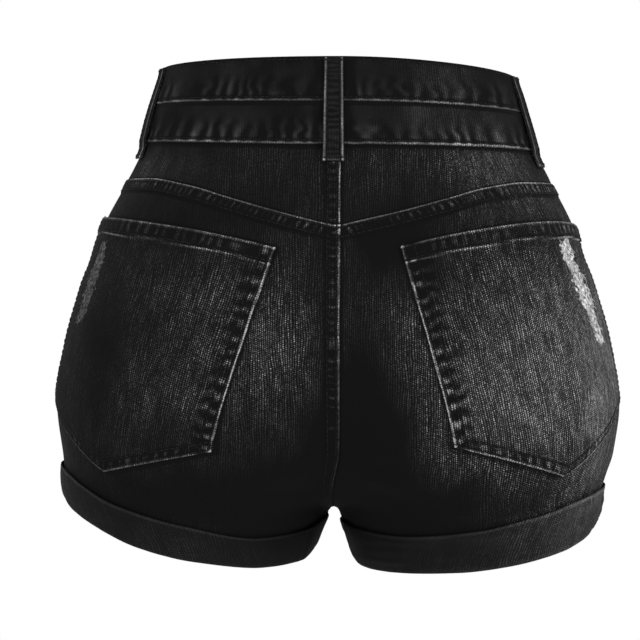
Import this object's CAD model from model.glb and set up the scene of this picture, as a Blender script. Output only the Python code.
"""Black high-waisted denim shorts, seen from the back: thin cloth shells on the solids' own surfaces, with
puckered seams, worn edges, fades, frayed patches and sewn stitches. Tables and sizes are in millimetres."""

import math

import bpy
import numpy as np
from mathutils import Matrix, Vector


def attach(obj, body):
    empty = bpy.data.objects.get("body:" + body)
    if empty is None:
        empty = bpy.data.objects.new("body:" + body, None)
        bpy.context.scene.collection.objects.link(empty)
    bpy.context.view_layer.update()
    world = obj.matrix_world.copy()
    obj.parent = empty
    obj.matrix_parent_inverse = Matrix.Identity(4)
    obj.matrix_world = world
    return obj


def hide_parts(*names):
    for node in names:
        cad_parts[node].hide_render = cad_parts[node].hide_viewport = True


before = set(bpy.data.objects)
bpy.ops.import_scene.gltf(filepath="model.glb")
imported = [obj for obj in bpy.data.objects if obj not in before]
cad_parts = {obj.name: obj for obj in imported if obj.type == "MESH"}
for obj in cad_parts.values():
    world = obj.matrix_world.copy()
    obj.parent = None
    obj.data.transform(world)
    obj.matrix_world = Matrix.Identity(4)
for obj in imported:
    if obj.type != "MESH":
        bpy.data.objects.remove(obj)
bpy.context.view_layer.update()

MM = 0.001
CLOTH = 1.4
BAND_CLOTH = 2.4  # folded double
BAND_TALL = 27
HEM_CLEAR = 0.8  # from a panel's edge to the inside of the cuff's fold
FELL_WIDTH = 9.4  # the felled seam: its width, its rise over the cloth and the width of its step
FELL_RISE = 0.8
FELL_STEP = 0.7
LAP_UNDER = 32  # how far the waistband's ends run past the middle of the front
LAP_OVER = 4
PANEL_SIZE = (280, 215)
YOKE_SIZE = (280, 46)
POCKET_SIZE = (160, 132)
FLY_SIZE = (36, 118)
BUTTON_X = -11
LOOP_WIDTH = 12.5
LOOP_CLOTH = 1.8
LOOP_SLACK = 1.5  # how far a belt loop stands off the waistband
POCKET_HEM = 11
POCKET_HEM_RISE = 0.9
LAY_GAP = 0.4  # between a piece and the one that it is laid on
SEAM_GAP = 0.3  # between pieces that are sewn to each other
TUCK = 3.0  # how far a panel runs on under the piece that is sewn over its edge
RIM = 1.3  # width over which an edge is rounded
COARSE = 4  # one inner vertex for every so many outer ones
PITCH = 1.2  # grid spacing of what the photo shows
HIDDEN_PITCH = 2.0  # and of what it hides
YARN = 1.45  # from one slubby warp yarn that shows to the next
PICK = 1.25  # from one of its worn dots to the next
BRIDGE = 14.0  # how softly the ovals of the two legs run together at the middle
BACK_POWER = 2.3  # how square an oval is, where 2 is round
FRONT_POWER = 2.5
CROTCH_Z = -257.0
SIDE_SEAM_ANGLE = -0.09  # a little in front of the widest place, in radians
AROUND_LENGTH = 260.0  # about what the cloth measures from a side seam to the middle
FORK_TOP, FORK_FOOT = -195.0, -290.0  # between these heights the warp runs evenly past the fork
FORK_GATHER = 5  # how near the fork the cloth that is left over is gathered
RISE_ROWS, LEG_ROWS = 16, 4  # rows of a panel above and below the fork, out of twenty
# Where each piece is cut from the cloth's pattern, so that no two show the same yarns
FRONT_SHIFT = 400
FLY_SHIFT = 900
LOOP_SHIFT = 40
POCKET_SHIFT = (37, 11)
CUFF_SHIFT = 90
CUFF_HALF = 270  # half of its length round the leg


def table(names, rows):
    return dict(zip(names.split(), np.array(rows, float).T))


FIGURE = table("z width lobe front back middle", [
    (30, 114.5, 0, 87, 90, 0),
    (0, 121, 0, 92, 95, 0),
    (-26, 128, 2, 97, 99, 0),
    (-45, 137, 8, 101, 104, 0),
    (-75, 152.5, 20, 104, 112, 0),
    (-110, 164.6, 34, 104, 121, 0),
    (-150, 176.3, 50, 101, 129, 0),
    (-189, 182, 64, 97, 130, 0),
    (-220, 178.3, 77.5, 93.5, 124, -0.3),
    (-235, 175, 84.5, 91.5, 119, -1.8),
    (-246, 172.2, 89, 90, 114.5, -2.6),
    (-257, 169.5, 91.75, 88.5, 109.5, -3),
    (-264, 168, 91.5, 87.8, 107, -3.2),
    (-275, 166.3, 91.8, 87, 104, -3.4),
    (-300, 163, 92.5, 86, 100, -3.5),
])
WAIST_LINES = table("around top between under tilt", [
    (-1, 16, -8, -33, 0),
    (0, 21.5, -1.5, -25, 3.5),
    (1, 28, -0.5, -27.5, 0),
])
YOKE_SEAM = table("around z tilt", [
    (0, -46.5, 1.5),
    (0.4, -48, 1.5),
    (0.57, -53, 1),
    (0.7, -60.3, 0.8),
    (0.82, -67.5, 0.5),
    (1, -77.5, 0),
    (1.2, -89, 0),
])
HEM = table("around left leftCuff right rightCuff", [
    (-1, -281, 19, -288, 24),
    (-0.75, -273, 18, -281, 22),
    (-0.5, -258, 18, -270, 21),
    (-0.25, -248, 18.5, -263, 20),
    (0, -246, 19, -262, 21),
    (0.15, -249, 21, -266.5, 25),
    (0.25, -255, 24, -274, 30),
    (0.35, -265, 25.5, -281, 32),
    (0.45, -277, 26, -287.5, 30),
    (0.55, -285, 23.5, -291.5, 26),
    (0.7, -290, 19, -293, 23.5),
    (0.85, -288, 19.5, -291.8, 24.5),
    (1, -281, 19, -288, 24),
])
POCKETS = {
    1: {"innerTop": (41.5, -91.4), "outerTop": (203, -76), "innerFoot": (77.2, -213.5),
        "point": (157.2, -232.7), "outerFoot": (233, -188), "bow": 7},
    -1: {"innerTop": (34.8, -91.9), "outerTop": (198, -70.5), "innerFoot": (76.6, -216.5),
         "point": (152.2, -230.2), "outerFoot": (231, -187), "bow": 5},
}
LOOPS = [
    ("belt_loop_back", 1, 1.0),
    ("belt_loop_side_right", 1, 0.23),
    ("belt_loop_side_left", -1, 0.24),
    ("belt_loop_front_right", 1, -0.6),
    ("belt_loop_front_left", -1, -0.6),
]
# Soft spots where the dye has faded, or is darkest. Out is the distance along the cloth from the middle of
# the back, to the right, and z the height.
FADES = table("out z wide tall amount", [
    (185, -165, 75, 75, 0.44),
    (105, -165, 36, 60, 0.22),
    (195, -226, 30, 22, 0.10),
    (44, -135, 22, 35, 0.10),
    (75, -205, 34, 32, 0.09),
    (-100, -165, 50, 60, 0.07),
    (-45, -140, 34, 50, 0.11),
    (114, -38, 36, 26, 0.16),
    (62, -34, 26, 20, 0.06),
    (74, 4, 40, 28, 0.13),
    (135, 0, 26, 34, -0.14),
    (104, 0, 16, 20, -0.07),
    (20, 4, 26, 26, -0.06),
    (-110, 0, 60, 26, -0.12),
    (44, -88, 26, 30, -0.12),
    (-138, -42, 22, 16, 0.08),
    (-112, -38, 22, 14, 0.05),
    (-65, -72, 34, 14, -0.06),
    (140, -84, 30, 18, -0.08),
    (112, -154, 16, 30, -0.06),
    (175, -198, 18, 14, 0.07),
    (-28, -168, 26, 40, 0.07),
    (-140, -150, 20, 26, -0.07),
    (12, -212, 16, 44, -0.14),
    (148, -160, 40, 40, -0.04),
    (20, -232, 30, 48, -0.32),
    (0, -266, 50, 28, -0.26),
    (80, -258, 80, 26, -0.16),
    (-45, -262, 50, 30, -0.10),
    (-120, -250, 80, 20, -0.06),
    (440, -120, 60, 70, 0.15),
    (-440, -120, 60, 70, 0.13),
])
# The main creases: soft troughs (depth) from one place on the cloth to another, on the sides named
CREASES = table("side from_around from_z to_around to_z wide depth", [
    (1, 0.94, -238, 0.66, -252, 6, 1.5),
    (1, 0.93, -226, 0.72, -228, 5, 0.8),
    (-1, 0.95, -240, 0.70, -250, 6, 1.2),
    (-1, 0.93, -224, 0.80, -219, 5, 0.6),
    (1, 0.10, -96, 0.30, -88, 9, 0.7),
    (-1, 0.06, -104, 0.26, -99, 8, 0.6),
    (1, -0.94, -222, -0.62, -200, 7, 1.7),
    (1, -0.93, -236, -0.58, -226, 6, 1.2),
    (1, -0.90, -205, -0.60, -172, 8, 1.0),
    (-1, -0.94, -218, -0.58, -202, 7, 1.5),
    (-1, -0.92, -238, -0.62, -224, 6, 1.3),
    (-1, -0.88, -200, -0.64, -168, 8, 0.9),
    (1, -0.30, -120, -0.12, -112, 9, 0.8),
    (-1, -0.34, -116, -0.14, -121, 8, 0.7),
])
# The frayed strips, as the middle line and half width of the bared cloth
FRAYS = {
    1: table("out z half", [
        (164.8, -85, 3.2), (160.5, -90, 8.0), (163, -93, 9.6), (163.5, -98, 7.8), (167, -102.5, 8.2),
        (171.8, -107, 9.8), (174, -113.5, 9.6), (178.5, -118, 12), (179.8, -124.5, 11), (182, -129, 8.4),
        (186, -134, 7.4), (187.5, -138.5, 6.8), (190.8, -143, 7.4), (192, -147.5, 7.6), (194.5, -151.5, 5),
    ]),
    -1: table("out z half", [
        (166.8, -86.5, 4.8), (168, -93, 7), (170, -101, 9.6), (174.5, -108.5, 10.4), (177, -116.5, 9.8),
        (180, -124.5, 10), (182, -132, 9), (187.5, -138.5, 5),
    ]),
}
# Each ring of a cuff, from inside the leg round the fold and up: how far out it stands, at which share of
# the cuff's height, and the millimetres added to that height
CUFF_RINGS = [
    (-1.4, 0, 0), (0.6, 0, -0.15), (2.2, 0, -0.1), (3.1, 0, 0.5), (3.7, 0, 1.7), (3.95, 0.12, 0.8),
    (4.0, 0.24, 0.4), (4.0, 0.36, 0), (3.9, 0.48, 0), (3.7, 0.6, 0), (3.4, 0.72, 0), (3.05, 0.84, -0.4),
    (2.7, 1, -2.2), (2.5, 1, -1.1), (2.2, 1, -0.3), (1.9, 1, 0), (1.5, 1, -0.4), (1.2, 0.95, -1.6),
    (1.1, 0.7, 0), (1.1, 0.35, 0), (1.1, 0, 1.5), (-1.4, 0, 1.4),
]
CUFF_FLOOR = 1.1  # how far out the cuff's own inner face stands
CUFF_OUTSIDE, CUFF_SHEET = 14, 34  # of the smoothed rings, one on the outside, and how many make up the sheet
# Radius and height of each ring of a button, from the middle of its back round the rim to that of its face
BUTTON_RINGS = [
    (0, 0), (4.8, 0), (5.6, 0.15), (7.9, 0.75), (8.4, 1.1), (8.5, 1.6), (8.3, 2.3), (7.8, 2.8), (7.2, 3.0),
    (6.7, 2.95), (6.3, 2.7), (6.0, 2.3), (5.6, 2.15), (4.4, 2.2), (3.2, 2.35), (1.8, 2.5), (0.9, 2.45),
    (0, 2.4),
]
BUTTON_CORNERS = 56  # in each ring
BLEACH = {1: 0.92, -1: 0.11}  # how white the bared cloth is
FRAY_NARROWING = 0.78  # of the half widths above, because loose ends reach past the bared cloth
FRAY_DENSITY = {1: 260000.0, -1: 110000.0}  # loose thread ends to the square metre


def mix(a, b, share):
    return a + (b - a) * share


def ease(share):
    share = np.clip(share, 0, 1)
    return share ** 2 * (3 - 2 * share)


def bump(offset, wide):
    """1 on a line, falling smoothly to nothing at the distance wide from it."""
    return ease(1 - np.abs(offset) / wide)


def smooth(rows, by, key, at):
    """A smooth curve through a table's rows that never overshoots them, level at both ends."""
    x, y = rows[by], rows[key]
    if x[0] > x[-1]:
        x, y = x[::-1], y[::-1]
    slope = np.diff(y) / np.diff(x)
    before, after = slope[:-1], slope[1:]
    whole = np.where(before * after > 0, before + after, 1)
    tangent = np.concatenate([[0], np.where(before * after > 0, 2 * before * after / whole, 0), [0]])
    at = np.clip(at, x[0], x[-1])
    i = np.clip(np.searchsorted(x, at, side="right") - 1, 0, len(x) - 2)
    h = x[i + 1] - x[i]
    t = (at - x[i]) / h
    rise = t * t * (3 - 2 * t)
    leaving = h * t * (1 - t) ** 2 * tangent[i]
    arriving = h * t * t * (1 - t) * tangent[i + 1]
    return mix(y[i], y[i + 1], rise) + leaving - arriving


def side_name(side):
    return "right" if side > 0 else "left"


def tilted(rows, key, side, around):
    return smooth(rows, "around", key, around) - side * smooth(rows, "around", "tilt", around)


def waist_line(key, side, around):
    return tilted(WAIST_LINES, key, side, around)


def yoke_line(side, around):
    return tilted(YOKE_SEAM, "z", side, around)


def hem_line(side, around):
    return smooth(HEM, "around", side_name(side), around)


def cuff_height(side, around):
    return smooth(HEM, "around", side_name(side) + "Cuff", around)


def oval(z):
    shape = {key: smooth(FIGURE, "z", key, z) for key in ("lobe", "middle", "front", "back")}
    shape["radius"] = smooth(FIGURE, "z", "width", z) - shape["lobe"]
    return shape


def oval_point(shape, angle):
    power = np.where(angle > 0, 2 / BACK_POWER, 2 / FRONT_POWER)
    turn = np.cos(angle)
    across = shape["lobe"] + shape["radius"] * np.sign(turn) * np.abs(turn) ** power
    deep = np.abs(np.sin(angle)) ** power
    x = np.sqrt(np.maximum(0, across ** 2 - BRIDGE ** 2))
    return x, np.where(angle > 0, -shape["back"] * deep, shape["front"] * deep)


HEIGHT_STEP = 0.5
HEIGHTS = np.arange(-303.0, 31.5, HEIGHT_STEP)
SHARES = np.linspace(0, 1, 401)


def arc_rows(facing):
    """For every height, the cloth's length from the side seam to the middle, and the angle at each share."""
    power = BACK_POWER if facing > 0 else FRONT_POWER
    shape = {key: value[:, None] for key, value in oval(HEIGHTS).items()}
    reach = np.maximum(-1, (BRIDGE - shape["lobe"]) / shape["radius"])
    last = facing * np.arccos(np.sign(reach) * np.abs(reach) ** (power / 2))
    steps = (1 - np.cos(np.linspace(0, math.pi, 601))) / 2
    angle = mix(SIDE_SEAM_ANGLE, last, steps[None, :])
    x, y = oval_point(shape, angle)
    run = np.cumsum(np.hypot(np.diff(x), np.diff(y)), axis=1)
    run = np.concatenate([np.zeros((len(HEIGHTS), 1)), run], axis=1)
    rows = np.array([np.interp(SHARES * r[-1], r, a) for r, a in zip(run, angle)])
    return run[:, -1], rows


ARCS = {facing: arc_rows(facing) for facing in (1, -1)}


def total_at(facing, z):
    return np.interp(z, HEIGHTS, ARCS[facing][0])


def on_arc(side, facing, run, z):
    total, rows = ARCS[facing]
    z = np.asarray(z, float)
    level = np.clip((z - HEIGHTS[0]) / HEIGHT_STEP, 0, len(HEIGHTS) - 1.001)
    i = level.astype(int)
    up = level - i
    place = np.clip(run / mix(total[i], total[i + 1], up), 0, 1) * (len(SHARES) - 1.001)
    k = place.astype(int)
    on = place - k
    angle = mix(mix(rows[i, k], rows[i, k + 1], on), mix(rows[i + 1, k], rows[i + 1, k + 1], on), up)
    shape = oval(z)
    x, y = oval_point(shape, angle)
    return np.stack([side * x + shape["middle"], y, z], axis=-1)


def on_body(side, around, z):
    part = np.minimum(1, np.abs(around))
    sides = []
    for facing in (1, -1):
        total = total_at(facing, z)
        depth = (FORK_TOP - z) / (FORK_TOP - FORK_FOOT)
        evened = mix(total_at(facing, FORK_TOP), total_at(facing, FORK_FOOT), depth)
        even = np.where((depth > 0) & (depth < 1), evened, total)
        sides.append(on_arc(side, facing, even * part + (total - even) * part ** FORK_GATHER, z))
    return np.where((around < 0)[..., None], sides[1], sides[0])


def spread(p):
    shape = oval(p[..., 2])
    back = p[..., 1] < 0
    power = np.where(back, BACK_POWER, FRONT_POWER)
    across = (np.hypot(p[..., 0] - shape["middle"], BRIDGE) - shape["lobe"]) / shape["radius"]
    deep = p[..., 1] / np.where(back, shape["back"], shape["front"])
    return np.abs(across) ** power + np.abs(deep) ** power


def outward(p):
    step = 0.4 * np.eye(3)
    slope = np.stack([spread(p + step[k]) - spread(p - step[k]) for k in range(3)], axis=-1)
    return slope / np.linalg.norm(slope, axis=-1, keepdims=True)


def surface(side, around, z):
    """The worn surface and its outward directions. Past the middle it lies on the other side."""
    around, z = np.broadcast_arrays(np.asarray(around, float), np.asarray(z, float))
    past = np.abs(around) > 1
    side = np.where(past, -side, side)
    around = np.where(past, 2 * np.sign(around) - around, around)
    p = on_body(side, around, z)
    return p, outward(p)


def noise(u, v, seed):
    """Smooth repeatable noise from -1 to 1, with cells of size 1."""
    cells = np.random.default_rng(seed).uniform(-1, 1, (128, 128))
    u, v = np.broadcast_arrays(np.asarray(u, float), np.asarray(v, float))
    iu, iv = np.floor(u).astype(int), np.floor(v).astype(int)
    su, sv = ease(u - iu), ease(v - iv)

    def corner(a, b):
        return cells[(iu + a) % 128, (iv + b) % 128]

    return mix(mix(corner(0, 0), corner(1, 0), su), mix(corner(0, 1), corner(1, 1), su), sv)


def pucker(run, across, seed, pitch=6.0):
    """Ridges across a seam, uneven in spacing, length and height: about -1 in a dip and 1 on a ridge."""
    bend = 1.3 * noise(run / (4 * pitch), 0.3, seed + 7) + 0.25 * noise(run / pitch, across / 5, seed + 9)
    wave = np.sin(2 * math.pi * (run / pitch + bend))
    height = 0.55 + 0.45 * noise(run / (1.7 * pitch), 0.6, seed)
    return wave * height + 0.25 * noise(run / 2.6, across / 4, seed + 3)


def out_of(side, around, z):
    """Signed distance along the cloth from the middle of the back."""
    back = total_at(1, z)
    front = total_at(-1, z)
    return side * np.where(around >= 0, back * (1 - around), back - front * around)


def faded(out, z):
    total = np.zeros(np.broadcast(out, z).shape)
    for middle, height, wide, tall, amount in zip(*FADES.values()):
        far = ((out - middle) / wide) ** 2 + ((z - height) / tall) ** 2
        total += amount * np.exp(-far)
    return total + 0.03 * noise(out / 26, z / 30, 5) + 0.02 * noise(out / 9, z / 14, 6)


def creased(side, around, z):
    """Depth of the main creases, and the slight unevenness of the worn cloth."""
    depth = 0.45 * noise(around * 6.3 + side, z / 46, 21) + 0.22 * noise(around * 14 + side, z / 22, 22)
    for number, (on, from_around, from_z, to_around, to_z, wide, deep) in enumerate(zip(*CREASES.values())):
        if on != side or from_around * np.mean(around) < 0:
            continue
        ax, az = from_around * AROUND_LENGTH, from_z
        dx, dz = to_around * AROUND_LENGTH - ax, to_z - az
        length = math.hypot(dx, dz)
        along = ((around * AROUND_LENGTH - ax) * dx + (z - az) * dz) / length
        off = ((around * AROUND_LENGTH - ax) * dz - (z - az) * dx) / length
        off = off + 2.2 * np.sin(along / length * 4.1 + number)
        ends = ease(along / (0.3 * length)) * ease((length - along) / (0.45 * length))
        trough, fold = np.exp(-(off / wide) ** 2), 0.55 * np.exp(-((off - 1.7 * wide) / wide) ** 2)
        depth = depth - deep * ends * (trough - fold)
    return depth


# Mesh building


def marks(length, pitch, rim=RIM):
    """Positions from 0 to length, closer at both ends where the edge is rounded."""
    ends = rim * np.array([0, 0.08, 0.3, 0.62])
    steps = max(COARSE, COARSE * round((length - 2 * rim) / pitch / COARSE))
    return np.concatenate([ends, np.linspace(rim, length - rim, steps + 1), (length - ends)[::-1]])


def rounding(at, length, rim=RIM):
    """How far the edge's rounding takes the face down, from 1 at the edge to 0 at the rim's inner side."""
    near = np.clip(np.minimum(at, length - at) / rim, 0, 1)
    return 1 - np.sqrt(1 - (1 - near) ** 2)


def shares(size, pitch):
    """Places across and down a piece of about this size, as shares of it, and the rounding of its edges."""
    wide, long = size
    s, v = np.meshgrid(marks(wide, pitch) / wide, marks(long, pitch) / long, indexing="ij")
    return s, v, np.maximum(rounding(s * wide, wide), rounding(v * long, long))


def in_scene(name, data):
    obj = bpy.data.objects.new(name, data)
    bpy.context.scene.collection.objects.link(obj)
    return obj


def make_mesh(name, verts, quads, tris, uv, paint, material):
    mesh = bpy.data.meshes.new(name)
    quads = np.asarray(quads, np.int32).reshape(-1, 4)
    tris = np.asarray(tris, np.int32).reshape(-1, 3)
    loops = np.concatenate([quads.ravel(), tris.ravel()])
    starts = np.concatenate([np.arange(len(quads)) * 4, len(quads) * 4 + np.arange(len(tris)) * 3])
    mesh.vertices.add(len(verts))
    mesh.vertices.foreach_set("co", (np.asarray(verts) * MM).astype(np.float32).ravel())
    mesh.loops.add(len(loops))
    mesh.loops.foreach_set("vertex_index", loops)
    mesh.polygons.add(len(starts))
    mesh.polygons.foreach_set("loop_start", starts.astype(np.int32))
    mesh.polygons.foreach_set("use_smooth", np.ones(len(starts), bool))
    mesh.update(calc_edges=True)
    mesh.validate()
    layer = mesh.uv_layers.new(name="UVMap")
    layer.data.foreach_set("uv", (np.asarray(uv) * MM)[loops].astype(np.float32).ravel())
    for key, values in paint.items():
        field = mesh.attributes.new(key, "FLOAT", "POINT")
        field.data.foreach_set("value", np.asarray(values, np.float32).ravel())
    mesh.materials.append(material)
    return in_scene(name, mesh)


def facing_out(verts, quads):
    """The faces of a closed mesh, all turned to look outwards."""
    a, b, c = verts[quads[:, 0]], verts[quads[:, 1]], verts[quads[:, 2]]
    return quads[:, ::-1] if (a * np.cross(b, c)).sum() < 0 else quads


def shell(name, outer, inner, uv, paint, material):
    """A closed thin shell: a fine outer face, a coarse inner one, and walls between their borders."""
    m, n = outer.shape[:2]
    fine = np.arange(m * n).reshape(m, n)
    low = inner[::COARSE, ::COARSE]
    mc, nc = low.shape[:2]
    coarse = m * n + np.arange(mc * nc).reshape(mc, nc)
    quads = [
        np.stack([fine[:-1, :-1], fine[1:, :-1], fine[1:, 1:], fine[:-1, 1:]], -1).reshape(-1, 4),
        np.stack([coarse[:-1, :-1], coarse[:-1, 1:], coarse[1:, 1:], coarse[1:, :-1]], -1).reshape(-1, 4),
    ]
    borders = [
        (fine[:, 0], coarse[:, 0]),
        (fine[-1, :], coarse[-1, :]),
        (fine[::-1, -1], coarse[::-1, -1]),
        (fine[0, ::-1], coarse[0, ::-1]),
    ]
    tris = []
    half = COARSE // 2
    for f, c in borders:
        for k in range(len(c) - 1):
            for a in range(COARSE):
                apex = c[k] if a < half else c[k + 1]
                tris.append((f[k * COARSE + a + 1], f[k * COARSE + a], apex))
            tris.append((f[k * COARSE + half], c[k], c[k + 1]))
    quads, tris = np.concatenate(quads), np.array(tris)
    middle = (m // 2, n // 2)
    du = outer[middle[0] + 1, middle[1]] - outer[middle]
    dv = outer[middle[0], middle[1] + 1] - outer[middle]
    if np.dot(np.cross(du, dv), outer[middle] - inner[middle]) < 0:
        quads, tris = quads[:, ::-1], tris[:, ::-1]

    def both(values):
        flat = values.reshape(m * n, -1)
        return np.concatenate([flat, values[::COARSE, ::COARSE].reshape(mc * nc, -1)])

    verts = np.concatenate([outer.reshape(-1, 3), low.reshape(-1, 3)])
    inside = np.concatenate([np.zeros(m * n), np.ones(mc * nc)])
    painted = {key: both(values) for key, values in paint.items()}
    return make_mesh(name, verts, quads, tris, both(uv), {**painted, "inside": inside}, material)


def face_area(grid):
    a, b = grid[1:, 1:] - grid[:-1, :-1], grid[:-1, 1:] - grid[1:, :-1]
    return float(np.linalg.norm(np.cross(a, b), axis=-1).sum() / 2) * MM * MM


def laid(p, n, rise):
    return p + n * np.asarray(rise)[..., None]


class Grid:
    """A piece's undisplaced points and outward directions, with the distances from its four edges."""

    def __init__(self, p, n):
        self.p, self.n = p, n
        along = np.cumsum(np.linalg.norm(np.diff(p, axis=0), axis=-1), axis=0)
        down = np.cumsum(np.linalg.norm(np.diff(p, axis=1), axis=-1), axis=1)
        self.start = np.concatenate([np.zeros((1, p.shape[1])), along], axis=0)
        self.top = np.concatenate([np.zeros((p.shape[0], 1)), down], axis=1)
        self.end = self.start[-1:, :] - self.start
        self.foot = self.top[:, -1:] - self.top
        self.rise = np.zeros(p.shape[:2])
        self.wear = np.zeros(p.shape[:2])
        self.dark = np.zeros(p.shape[:2])
        self.outer = None

    def sewn(self, edge, wide, seed, ridge, worn, pitch=6.0, rows=True):
        """A sewn edge: a worn fold, two stitched grooves and the puckers between them."""
        far = getattr(self, edge)
        along = self.start if edge in ("top", "foot") else self.top
        ridges = pucker(along, far, seed, pitch) * bump(far - wide / 2 - 0.4, wide / 2 + 0.8)
        self.rise += ridge * ridges
        self.wear += worn * bump(far - 0.75, 1.15) * (0.8 + 0.2 * noise(along / 7, 0.4, seed + 1))
        self.wear += np.maximum(0, ridges) * ridge * 2.0
        self.dark += np.maximum(0, -ridges) * ridge * 3.0 + ridge * 0.5 * bump(far - wide / 2 - 1, wide / 2)
        if rows:
            for at in (2.2, wide):
                self.rise -= 0.2 * bump(far - at, 0.8)
                self.dark += 0.7 * bump(far - at, 1.1)

    def placed(self, side, around, z, total, lap):
        """Notes where the piece lies on the body, and its half of the seam down the middle of the back."""
        self.side, self.around, self.z, self.total, self.lap = side, around, z, total, lap
        return self

    def build(self, name, node, material, uv, fade, rests, inner, fray=0, bleach=0):
        self.outer = laid(self.p, self.n, self.rise)
        paint = {"fade": fade, "wear": np.clip(self.wear, 0, 1.2), "dark": np.clip(self.dark, 0, 1)}
        paint["fray"], paint["bleach"] = np.zeros_like(fade) + fray, np.zeros_like(fade) + bleach
        obj = shell(name, self.outer, laid(self.p, self.n, inner), uv, paint, material)
        wide = float(np.linalg.norm(np.diff(self.outer, axis=0), axis=-1).sum(axis=0).max()) * MM
        long = float(np.linalg.norm(np.diff(self.outer, axis=1), axis=-1).sum(axis=1).max()) * MM
        area = min(face_area(self.outer), wide * long)
        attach(obj, "root")
        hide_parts(node)
        print(f"sheet {name}: {wide:.3f} x {long:.3f} m, {area:.4f} m2")

    def build_panel(self, name, node, folds, rests):
        """Builds a piece of the body's own cloth, with its warp lines and its fades."""
        fade = faded(out_of(self.side, self.around, self.z), self.z)
        side = side_name(self.side)
        self.build(f"{name}_{side}", f"{node}_{side}", BODY_DENIM, cloth_uv(self), fade, [rests],
                   folds - CLOTH)

    def line(self, edge, offset, first=0.004, last=0.996):
        """The points at one distance from an edge, on the displaced face, with their directions."""
        far = getattr(self, edge)
        rows = range(self.p.shape[0]) if edge in ("top", "foot") else range(self.p.shape[1])
        points, normals = [], []
        for k in rows:
            column = (k, slice(None)) if edge in ("top", "foot") else (slice(None), k)
            d, q, n = far[column], self.outer[column], self.n[column]
            if d[0] > d[-1]:
                d, q, n = d[::-1], q[::-1], n[::-1]
            points.append([np.interp(offset, d, q[:, axis]) for axis in range(3)])
            normals.append([np.interp(offset, d, n[:, axis]) for axis in range(3)])
        points, normals = np.array(points), np.array(normals)
        run = np.concatenate([[0], np.cumsum(np.linalg.norm(np.diff(points, axis=0), axis=1))])
        keep = (run >= first * run[-1]) & (run <= last * run[-1])
        return points[keep], normals[keep]


# Node trees


class Value:
    """A number on a node's socket. An expression on it adds Math nodes to its tree."""

    def __init__(self, tree, socket):
        self.tree, self.socket = tree, socket

    def math(self, operation, *values):
        return self.tree.math(operation, self, *values)

    def __add__(self, other):
        return self.tree.math("ADD", self, other)

    def __sub__(self, other):
        return self.tree.math("SUBTRACT", self, other)

    def __rsub__(self, other):
        return self.tree.math("SUBTRACT", other, self)

    def __mul__(self, other):
        return self.tree.math("MULTIPLY", self, other)

    def __truediv__(self, other):
        return self.tree.math("DIVIDE", self, other)

    def __rtruediv__(self, other):
        return self.tree.math("DIVIDE", other, self)

    def __neg__(self):
        return self.tree.math("MULTIPLY", self, -1.0)

    __radd__ = __add__
    __rmul__ = __mul__

    def clip(self, low, high):
        return self.math("MAXIMUM", low).math("MINIMUM", high)

    def between(self, low, high):
        """0 where the value is low or less, and 1 where it is high or more."""
        links = {"Value": self, "From Min": low, "From Max": high}
        return self.tree.node("ShaderNodeMapRange", {}, links, "Result")


class Tree:
    """A tree of nodes. All but the maths of Value come from its method node."""

    def __init__(self, tree):
        self.tree = tree
        tree.nodes.clear()

    def node(self, kind, settings, links, *outputs):
        """Adds a node. Its settings come first, then the values or links of its sockets."""
        node = self.tree.nodes.new(kind)
        for key, value in settings.items():
            if key == "stops":
                set_stops(node.color_ramp.elements, value)
            else:
                setattr(node, key, value)
        for name, value in links.items():
            self.set(socket_named(node.inputs, name), value)
        found = [Value(self, socket_named(node.outputs, name)) for name in outputs]
        return found[0] if len(found) == 1 else found

    def set(self, socket, value):
        if isinstance(value, Value):
            self.tree.links.new(value.socket, socket)
        else:
            socket.default_value = value

    def math(self, operation, *values):
        node = self.tree.nodes.new("ShaderNodeMath")
        node.operation = operation
        for socket, value in zip(node.inputs, values):
            self.set(socket, value)
        return Value(self, node.outputs[0])

    def point(self, x, y, z):
        return self.node("ShaderNodeCombineXYZ", {}, {"X": x, "Y": y, "Z": z}, "Vector")

    def attribute(self, name):
        return self.node("ShaderNodeAttribute", {"attribute_name": name}, {}, "Fac")

    def greys(self, value, stops):
        return self.node("ShaderNodeValToRGB", {"stops": stops}, {"Fac": value}, "Color")

    def blend(self, share, first, second):
        links = {"Factor": share, "A": first, "B": second}
        return self.node("ShaderNodeMix", {"data_type": "RGBA"}, links, "Result")

    def grain(self, u, v, across, along, detail, layer):
        """Noise whose cells are across by along millimetres in the cloth."""
        place = self.point(u / (across * MM), v / (along * MM), layer)
        return self.node("ShaderNodeTexNoise", {}, {"Vector": place, "Scale": 1.0, "Detail": detail}, "Fac")


def socket_named(sockets, name):
    return next(socket for socket in sockets if socket.enabled and socket.name == name)


def set_stops(elements, stops):
    while len(elements) < len(stops):
        elements.new(0.5)
    for element, (at, grey) in zip(elements, stops):
        element.position = at
        element.color = (grey, grey, grey, 1)


def new_material(name):
    material = bpy.data.materials.new(name)
    material.use_nodes = True
    return material, Tree(material.node_tree)


def finish_surface(tree, sockets):
    shader = tree.node("ShaderNodeBsdfPrincipled", {}, sockets, "BSDF")
    tree.node("ShaderNodeOutputMaterial", {}, {"Surface": shader})


# Materials


DARKEST, TONE_RANGE = 0.004, 75.0  # the albedo at tone 0, and how many times lighter tone 1 is
TONE_STOPS = [(k / 5, DARKEST * TONE_RANGE ** (k / 5)) for k in range(6)]
WEFT_STOPS = [(0, 0.03), (0.3, 0.14), (0.55, 0.4), (1, 0.66)]


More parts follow.
